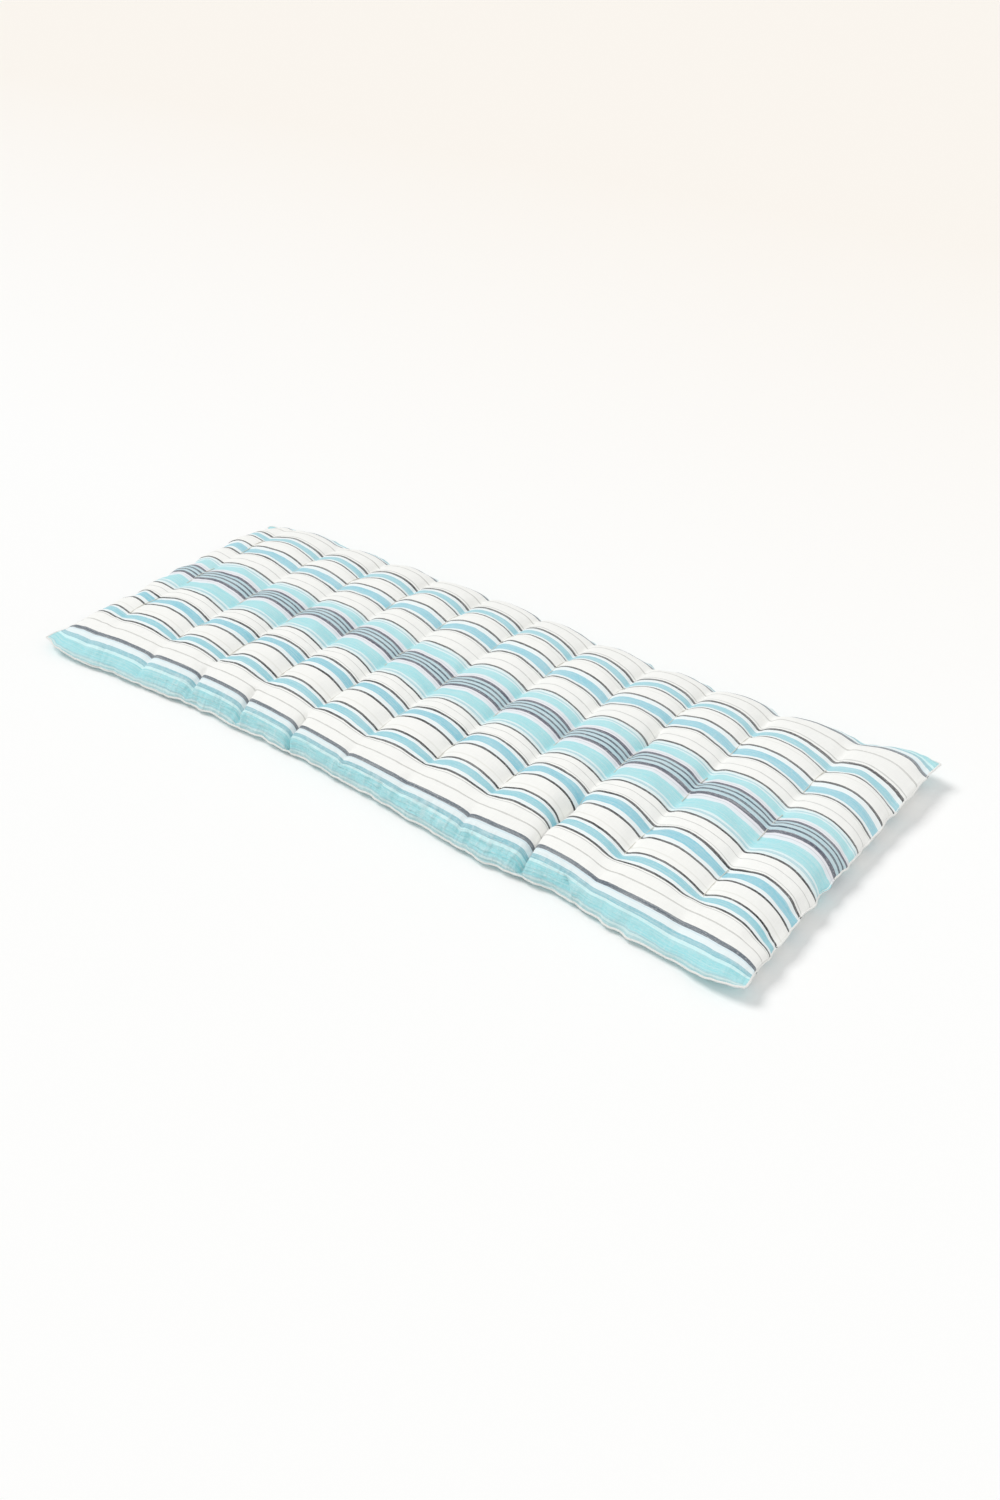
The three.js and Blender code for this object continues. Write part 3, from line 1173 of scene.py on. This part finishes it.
@dataclass
class Cover:
    """The two panels of striped cotton, swollen, creased and puckered."""

    form: PadForm
    pleats: tuple[Pleat, ...] = (
        Pleat(-732, 3.5),
        Pleat(-462, 4.5),
        Pleat(-380, 4.5),
        Pleat(-315, 5.5),
        Pleat(-170, 7.0),
        Pleat(-45, 2.5, 0.5),
        Pleat(85, 3.0),
        Pleat(200, 2.5, -0.4),
        Pleat(312, 6.0),
        Pleat(439, 7.0),
        Pleat(505, 5.0, 0.9),
    )
    cloth: float = 1.6
    coarse: float = 8.0
    swelling: Swelling = Swelling()

    def lines(self) -> tuple[Grid, Grid]:
        """Places of the coarse grid's lines along and across the cloth."""
        left, right = self.form.reach
        half, border = self.form.half_cloth, self.form.border
        stops = [-border, border, *self.form.rows]
        return (
            spread(-left, right, self.form.columns, self.coarse),
            spread(-half, half, stops, self.coarse),
        )

    def build(self, side: Side) -> Panel:
        """Makes one panel.

        Args:
            side: Which panel.

        Returns:
            The finished panel.
        """
        name = "top_panel" if side is Side.TOP else "bottom_panel"
        s, t = self.lines()
        moved = self.swollen(side, s, t)
        fine = Panel(name, halved(s, 0), halved(t, 0))
        where = fine.grid
        points = self.form.panel(side, *where) + halved(halved(moved, 0), 1)
        points = points + self.details(side, *where, points)
        if side is Side.BOTTOM:
            points[..., 2] = np.maximum(points[..., 2], FLOOR_GAP)
        fine.shape(points)
        fine.finish(side, self.cloth)
        return fine

    def swollen(self, side: Side, s: Grid, t: Grid) -> Grid:
        """How far the pressure of the felt moves a panel.

        Args:
            side: Which panel.
            s: Lines of the grid along the cloth.
            t: Lines across it.

        Returns:
            A grid of distances.
        """
        trial = Panel("trial", s, t)
        trial.shape(self.form.panel(side, *trial.grid))
        if side is Side.BOTTOM:
            trial.piece.data.flip_normals()
        on_twine = np.isin(np.round(s, 3), np.round(self.form.columns, 3))
        held = np.zeros((len(s), len(t)), bool)
        held[[0, -1], :] = True
        held[:, [0, -1]] = True
        inner = np.abs(t) <= self.form.outer_row + 12
        held |= on_twine[:, None] & inner[None, :]
        moved = self.swelling.run(trial, held)
        bpy.data.objects.remove(trial.piece)
        LOG.info("%s swells by %.1f mm at most", side.name, np.abs(moved).max())
        return moved

    def details(self, side: Side, s: Grid, t: Grid, points: Grid) -> Grid:
        """Gathers, puckers and wrinkles.

        Args:
            side: Which panel.
            s: Places along the cloth.
            t: Places across it.
            points: The panel so far.

        Returns:
            How far each place moves.
        """
        inward = np.minimum(self.form.half_cloth - np.abs(t), self.form.from_end(s))
        fade = smooth(0.0, 14.0, inward)
        height = self.wrinkles(s, t) * fade
        if side is Side.TOP:
            height = height + self.side_puckers(s, t) + self.end_gathers(s, t)
        else:
            height = height * 0.4
        moved = normals(points) * height[..., None]
        if side is Side.BOTTOM:
            moved = -moved
        return moved + self.hem(s, t, points) * (1 - smooth(0.0, 30.0, inward))[..., None]

    def wrinkles(self, s: Grid, t: Grid) -> Grid:
        """Uneven filling, and the small wrinkles round the tufts.

        Args:
            s: Places along the cloth.
            t: Places across it.

        Returns:
            Heights.
        """
        filling = Unevenness(3, 95.0, 80.0)(s, t) * 1.6
        filling = filling + Unevenness(5, 38.0, 30.0)(s, t) * 0.7
        fine = Unevenness(8, 17.0, 11.0)(s, t) * 0.28
        gap = np.min(np.abs(s[..., None] - np.array(self.form.columns)), -1)
        inside = 1 - smooth(self.form.outer_row + 5, self.form.outer_row + 40, np.abs(t))
        gathers = Unevenness(13, 60.0, 9.0)(s, t) * 1.3 * np.exp(-gap / 15.0) * inside
        pillow = smooth(0.0, 40.0, gap)
        return filling * (0.3 + 0.7 * pillow) + fine + gathers

    def side_puckers(self, s: Grid, t: Grid) -> Grid:
        """The upright puckers of the long sides, above the seam.

        Args:
            s: Places along the cloth.
            t: Places across it.

        Returns:
            Heights.
        """
        border, half = self.form.border, self.form.half_cloth
        band = hump((border + half) / 2 + 4, (half - border) / 2 + 6, np.abs(t))
        bent = s + 0.25 * (np.abs(t) - border)
        pucker = Unevenness(21, 17.0, 900.0)(bent, t) + 0.5 * Unevenness(22, 9.0, 60.0)(bent, t)
        busy = 0.35 + 0.65 * hump(200.0, 420.0, s) + 0.5 * hump(-420.0, 230.0, s)
        rope = Unevenness(24, 110.0, 14.0)(s, t) * 1.8
        rope = rope + Unevenness(25, 60.0, 10.0)(s, t) * 3.0 * hump(130.0, 430.0, s)
        height = pucker * 3.2 * busy + rope
        for pleat in self.pleats:
            gap = s - pleat.along - pleat.lean * (np.abs(t) - border)
            fold = 0.6 * hump(10.0, 10.0, gap) - np.exp(-np.abs(gap) / 4.5)
            height = height + 1.5 * pleat.depth * fold * (t < 0)
        return band * height

    def end_gathers(self, s: Grid, t: Grid) -> Grid:
        """The soft gathers of the two ends.

        Args:
            s: Places along the cloth.
            t: Places across it.

        Returns:
            Heights.
        """
        near = 1 - smooth(15.0, 75.0, self.form.from_end(s))
        wave = np.cos(2 * math.pi * t / self.form.row_pitch)
        return near * (2.0 * wave + 1.6 * Unevenness(31, 90.0, 24.0)(s, t))

    def hem(self, s: Grid, t: Grid, points: Grid) -> Grid:
        """How the seam weaves in and out, the same for both panels.

        Args:
            s: Places along the cloth; not used.
            t: Places across it; not used.
            points: The panel so far.

        Returns:
            How far each place moves.
        """
        x, y = points[..., 0], points[..., 1]
        along = Unevenness(41, 30.0, 30.0)(x, y) + 0.8 * Unevenness(42, 13.0, 13.0)(x, y)
        out = np.stack([np.sign(x) * smooth(820, 880, np.abs(x)),
                        np.sign(y) * smooth(280, 330, np.abs(y)),
                        np.zeros_like(x)], -1)
        up = np.zeros_like(points)
        up[..., 2] = 2.2 * (Unevenness(43, 34.0, 34.0)(x, y) + 0.3)
        return out * along[..., None] * 2.6 + up


@dataclass
class Filling:
    """The two batts of cotton felt, just inside the cover."""

    form: PadForm
    clearance: float = 9.0
    lift: float = 8.0  # from the outside of the bottom panel
    inset: float = 36.0  # from the seam
    middle: float = 24.0
    step: float = 16.0

    def build(self, name: str, upper: bool) -> bpy.types.Object:
        """Makes one batt as a closed body.

        Args:
            name: Its name.
            upper: True for the batt on top.

        Returns:
            The batt.
        """
        left, right = self.form.reach
        half = self.form.half_cloth
        s = spread(self.inset - left, right - self.inset, self.form.columns, self.step)
        t = spread(self.inset - half, half - self.inset, [], self.step)
        sheet = Panel(name, s, t)
        where = sheet.grid
        top = self.form.top(*where)
        under = top - normals(top) * self.clearance
        drift = under - top
        base = self.form.base(where[0] + drift[..., 0], where[1] + drift[..., 1])
        low = base[..., 2] + self.lift
        high = np.maximum(under[..., 2], low + 2.0)
        share = np.clip((self.middle - low) / (high - low), 0.1, 0.8)
        between = low + (high - low) * share
        floor = between + 0.4 if upper else low
        roof = high if upper else between
        sheet.shape(np.concatenate([under[..., :2], roof[..., None]], -1))
        depth = (roof - floor)[sheet.i, sheet.j] * MM
        self.thicken(sheet.piece.data, depth)
        sheet.piece.data.shade_smooth()
        return sheet.piece

    def thicken(self, mesh: bpy.types.Mesh, depth: Grid) -> None:
        """Grows a sheet down into a closed body.

        Args:
            mesh: The sheet.
            depth: How far down each vertex goes.
        """
        build = bmesh.new()
        build.from_mesh(mesh)
        before = list(build.verts)
        bmesh.ops.extrude_face_region(build, geom=list(build.faces))
        for vert, down in zip(before, depth):
            vert.co.z -= down
        bmesh.ops.recalc_face_normals(build, faces=list(build.faces))
        aslant = Vector((1.0, 3.17, 7.93))
        build.verts.sort(key=lambda vert: vert.co.dot(aslant))
        build.faces.sort(key=lambda face: face.calc_center_median().dot(aslant))
        build.to_mesh(mesh)
        build.free()


def strand(name: str, paths: Sequence[Sequence[Sequence[float]]], radius: float,
           sides: int, closed: bool = False) -> bpy.types.Object:
    """Round threads along their paths.

    Args:
        name: Name of the piece.
        paths: The points that each thread follows.
        radius: Radius of the thread.
        sides: Sides of its section, an even number.
        closed: True where the threads run in rings.

    Returns:
        One mesh of all the threads.
    """
    curve = bpy.data.curves.new(name, "CURVE")
    curve.dimensions = "3D"
    curve.bevel_depth = radius * MM
    curve.bevel_resolution = sides // 2 - 2
    curve.use_fill_caps = not closed
    for path in paths:
        line = curve.splines.new("POLY")
        line.points.add(len(path) - 1)
        flat = np.c_[np.array(path) * MM, np.ones(len(path))]
        line.points.foreach_set("co", flat.ravel())
        line.use_cyclic_u = closed
        line.use_smooth = True
    holder = bpy.data.objects.new(name, curve)
    bpy.context.collection.objects.link(holder)
    view = bpy.context.evaluated_depsgraph_get()
    mesh = bpy.data.meshes.new_from_object(holder.evaluated_get(view))
    bpy.data.objects.remove(holder)
    bpy.data.curves.remove(curve)
    mesh.shade_smooth()
    return add_piece(name, mesh)


def resample(path: Grid, step: float, closed: bool) -> Grid:
    """Points at even distances along a path.

    Args:
        path: The points of the path.
        step: Distance between the new points.
        closed: True where the path runs back to its start.

    Returns:
        The new points.
    """
    whole = np.concatenate([path, path[:1]]) if closed else path
    run = np.r_[0, np.cumsum(np.linalg.norm(np.diff(whole, axis=0), axis=1))]
    count = max(3, int(round(run[-1] / step)))
    at = np.linspace(0, run[-1], count + 1)
    points = np.stack([np.interp(at, run, whole[:, k]) for k in range(3)], -1)
    return points[:-1] if closed else points


def winding(path: Grid, radius: float, pitch: float, step: float, phase: float,
            closed: bool) -> Grid:
    """A thread that winds round a path.

    Args:
        path: The points of the path.
        radius: Distance of the thread's middle from the path.
        pitch: Length of one turn.
        step: Distance between points along the path.
        phase: Turn at the start, in radians.
        closed: True where the path runs in a ring.

    Returns:
        The thread's points.
    """
    points = resample(path, step, closed)
    if closed:
        ahead = np.roll(points, -1, 0) - np.roll(points, 1, 0)
    else:
        ahead = np.gradient(points, axis=0)
    ahead = ahead / np.maximum(np.linalg.norm(ahead, axis=1, keepdims=True), 1e-9)
    up = np.array([0.0, 0.0, 1.0]) - ahead * ahead[:, 2:3]
    thin = np.linalg.norm(up, axis=1, keepdims=True) < 0.2
    other = np.array([1.0, 0.0, 0.0]) - ahead * ahead[:, 0:1]
    up = np.where(thin, other, up)
    up = up / np.linalg.norm(up, axis=1, keepdims=True)
    beside = np.cross(ahead, up)
    turns = max(1, round(len(points) * step / pitch))
    angle = phase + 2 * math.pi * turns * np.arange(len(points)) / len(points)
    return points + radius * (np.cos(angle)[:, None] * up + np.sin(angle)[:, None] * beside)


@dataclass
class EdgeSeam:
    """The rolled edge where the panels meet, oversewn with white thread."""

    radius: float = 1.9
    thread: float = 0.55
    pitch: float = 6.5
    stitch_step: float = 1.1

    def build(self, rim: Grid) -> bpy.types.Object:
        """Makes the edge.

        Args:
            rim: Points of the seam, in a ring.

        Returns:
            The piece.
        """
        core = resample(rim, 5.0, True)
        wound = winding(core, self.radius + 0.25, self.pitch, self.stitch_step, 0.0, True)
        edge = strand("oversewn_edge", [core], self.radius, 8, True)
        return absorb(edge, strand("stitches", [wound], self.thread, 4, True))


@dataclass
class Tufting:
    """The running twines that tie the two panels together through the felt."""

    form: PadForm
    twine: float = 2.4
    pitch: float = 9.0

    def route(self, column: int) -> Grid:
        """The way of one twine through the pad.

        Args:
            column: Which twine, from 0.

        Returns:
            Its points.
        """
        x = self.form.columns[column]
        rows, per_run = self.form.rows, 16
        lift = -self.twine / 4
        t = np.linspace(rows[0], rows[-1], (ROWS - 1) * per_run + 1)
        s = np.full_like(t, float(x))
        top, base = self.form.top(s, t), self.form.base(s, t)
        top[:, 2] += lift
        base[:, 2] -= lift
        base[:, 2] = np.maximum(base[:, 2], self.twine / 2 + 0.6)
        points = [base[0]]
        for run in range(ROWS - 1):
            way = top if run % 2 == 0 else base
            points.extend(way[per_run * run: per_run * (run + 1) + 1])
        points.append(base[-1])
        return np.array(points)

    def knot(self, centre: Grid, size: float) -> Grid:
        """A small overhand knot.

        Args:
            centre: Its middle.
            size: Half its width.

        Returns:
            Its points, in a ring.
        """
        turn = np.linspace(0, 2 * math.pi, 37)[:-1]
        x = np.sin(turn) + 2 * np.sin(2 * turn)
        y = np.cos(turn) - 2 * np.cos(2 * turn)
        z = -np.sin(3 * turn)
        return centre + np.stack([x, y, z * 0.8], -1) * size / 3.2

    def build(self, column: int) -> bpy.types.Object:
        """Makes one twine with its knots.

        Args:
            column: Which twine, from 0.

        Returns:
            The piece.
        """
        path = resample(self.route(column), 2.0, False)
        ply = self.twine / 4 * 1.05
        plies = [winding(path, ply * 0.95, self.pitch, 2.0, phase, False)
                 for phase in (0.0, math.pi)]
        name = f"twine_{column + 1:02d}"
        twine = strand(name, plies, ply, 6)
        ends = [path[0], path[-1]]
        knots = [self.knot(end + np.array([0, 0, 1.5]), 3.6) for end in ends]
        return absorb(twine, strand("knots", knots, ply * 1.3, 6, True))


@dataclass
class Studio:
    """Floor, light and camera."""

    place: tuple[float, float, float] = (1.613, -1.766, 1.676)
    yaw: float = -40.29
    pitch: float = 36.91
    roll: float = -2.13
    lens: float = 33.19
    sky: float = 0.47
    key: float = 0.34
    fill: float = 0.18
    key_from: tuple[float, float, float] = (-0.78, -0.12, 1.0)
    fill_from: tuple[float, float, float] = (1.0, -0.1, 0.9)

    def build(self) -> None:
        """Sets everything up."""
        self.lay_floor()
        self.light()
        self.set_camera()

    def lay_floor(self) -> None:
        """A pale floor that runs past the view."""
        build = bmesh.new()
        bmesh.ops.create_grid(build, x_segments=1, y_segments=1, size=22.0)
        mesh = bpy.data.meshes.new("floor")
        build.to_mesh(mesh)
        build.free()
        floor = add_piece("floor", mesh)
        floor.data.materials.append(self.floor_finish())

    def floor_finish(self) -> bpy.types.Material:
        """A white paint, a little warmer far from the mattress."""
        finish, tree, shader = new_finish("floor_paint")
        split = tree.node("SeparateXYZ", {0: tree.node("TexCoord").outputs["Object"]})
        far = tree.graded(split.outputs[1], (0.3, 3.5))
        tree.fill(shader, {
            "Base Color": tree.mix(far, linear((254, 254, 253)), linear((251, 246, 239))),
            "Roughness": 0.9,
            "Specular IOR Level": 0.0,
        })
        return finish

    def light(self) -> None:
        """An even white sky, a soft light from one end and a wide one from the other."""
        world = bpy.context.scene.world or bpy.data.worlds.new("studio")
        bpy.context.scene.world = world
        world.use_nodes = True
        sky = world.node_tree.nodes["Background"]
        sky.inputs["Color"].default_value = (1.0, 1.0, 1.0, 1.0)
        sky.inputs["Strength"].default_value = self.sky
        self.lamp("key", self.key, self.key_from, 25.0)
        self.lamp("fill", self.fill, self.fill_from, 120.0)
        bpy.context.scene.view_settings.view_transform = "Standard"

    def lamp(self, name: str, strength: float, come_from: Sequence[float], angle: float) -> None:
        """Sets up one far lamp.

        Args:
            name: Its name.
            strength: Light that it gives the floor, against the white of the view.
            come_from: The way to it.
            angle: How wide it looks, in degrees.
        """
        lamp = bpy.data.lights.new(name, "SUN")
        way = Vector(come_from).normalized()
        lamp.energy = math.pi * strength / way.z
        lamp.angle = math.radians(angle)
        holder = bpy.data.objects.new(name, lamp)
        holder.rotation_euler = way.to_track_quat("Z", "Y").to_euler()
        bpy.context.collection.objects.link(holder)

    def set_camera(self) -> None:
        """The camera, above a corner of the mattress."""
        yaw, pitch, roll = map(math.radians, (self.yaw, self.pitch, self.roll))
        ahead = Vector((
            math.sin(yaw) * math.cos(pitch), math.cos(yaw) * math.cos(pitch), -math.sin(pitch)
        ))
        right = Vector((math.cos(yaw), -math.sin(yaw), 0.0))
        up = right.cross(ahead)
        x_axis = math.cos(roll) * right + math.sin(roll) * up
        y_axis = -math.sin(roll) * right + math.cos(roll) * up
        data = bpy.data.cameras.new("camera")
        data.lens, data.sensor_width, data.sensor_fit = self.lens, 36.0, "AUTO"
        data.clip_end = 100.0
        camera = bpy.data.objects.new("camera", data)
        turn = Matrix((x_axis, y_axis, -ahead)).transposed().to_4x4()
        camera.matrix_world = Matrix.Translation(self.place) @ turn
        bpy.context.collection.objects.link(camera)
        bpy.context.scene.camera = camera


def place_piece(piece: bpy.types.Object, finish: bpy.types.Material, node: str) -> None:
    """Dresses a piece and lets it stand for its solid.

    Args:
        piece: The piece.
        finish: Its finish.
        node: The solid that it replaces.
    """
    piece.data.materials.clear()
    piece.data.materials.append(finish)
    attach(piece, "root")
    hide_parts(node)
    LOG.info("%s: %d faces", piece.name, len(piece.data.polygons))


def ring(points: Grid) -> Grid:
    """The outermost points of a grid, in order."""
    return np.concatenate([
        points[:, 0], points[-1, 1:], points[-2::-1, -1], points[0, -2:0:-1]
    ])


def main() -> None:
    """Builds the mattress, dresses it and sets up the studio."""
    logging.basicConfig(level=logging.INFO)
    columns = (-783, -611, -465, -317, -166, -16, 139, 295, 438, 588, 755)
    form = PadForm(columns=columns, row_pitch=89.2)
    groups = {"weave": weave_group(), "slub": slub_group()}
    striped = StripedCloth().build("striped_cotton", form.half_cloth, groups)
    felt = CottonFelt().build("cotton_felt")
    thread = Yarn((250, 250, 247), (232, 232, 228)).build("seam_thread")
    twine = Yarn((238, 237, 228), (206, 204, 194)).build("tufting_twine")

    cover = Cover(form)
    top = cover.build(Side.TOP)
    place_piece(top.piece, striped, "top_cover")
    bottom = cover.build(Side.BOTTOM)
    place_piece(bottom.piece, striped, "bottom_cover")

    filling = Filling(form)
    for name, upper, node in (("upper_felt", True, "upper_batt"),
                              ("lower_felt", False, "lower_batt")):
        place_piece(filling.build(name, upper), felt, node)

    edge = EdgeSeam().build(ring(top.points))
    place_piece(edge, thread, "edge_seam")
    tufting = Tufting(form)
    for column in range(len(columns)):
        place_piece(tufting.build(column), twine,
                    f"tufting_twine_{column + 1:02d}")
    Studio().build()


if __name__ == "__main__":
    main()
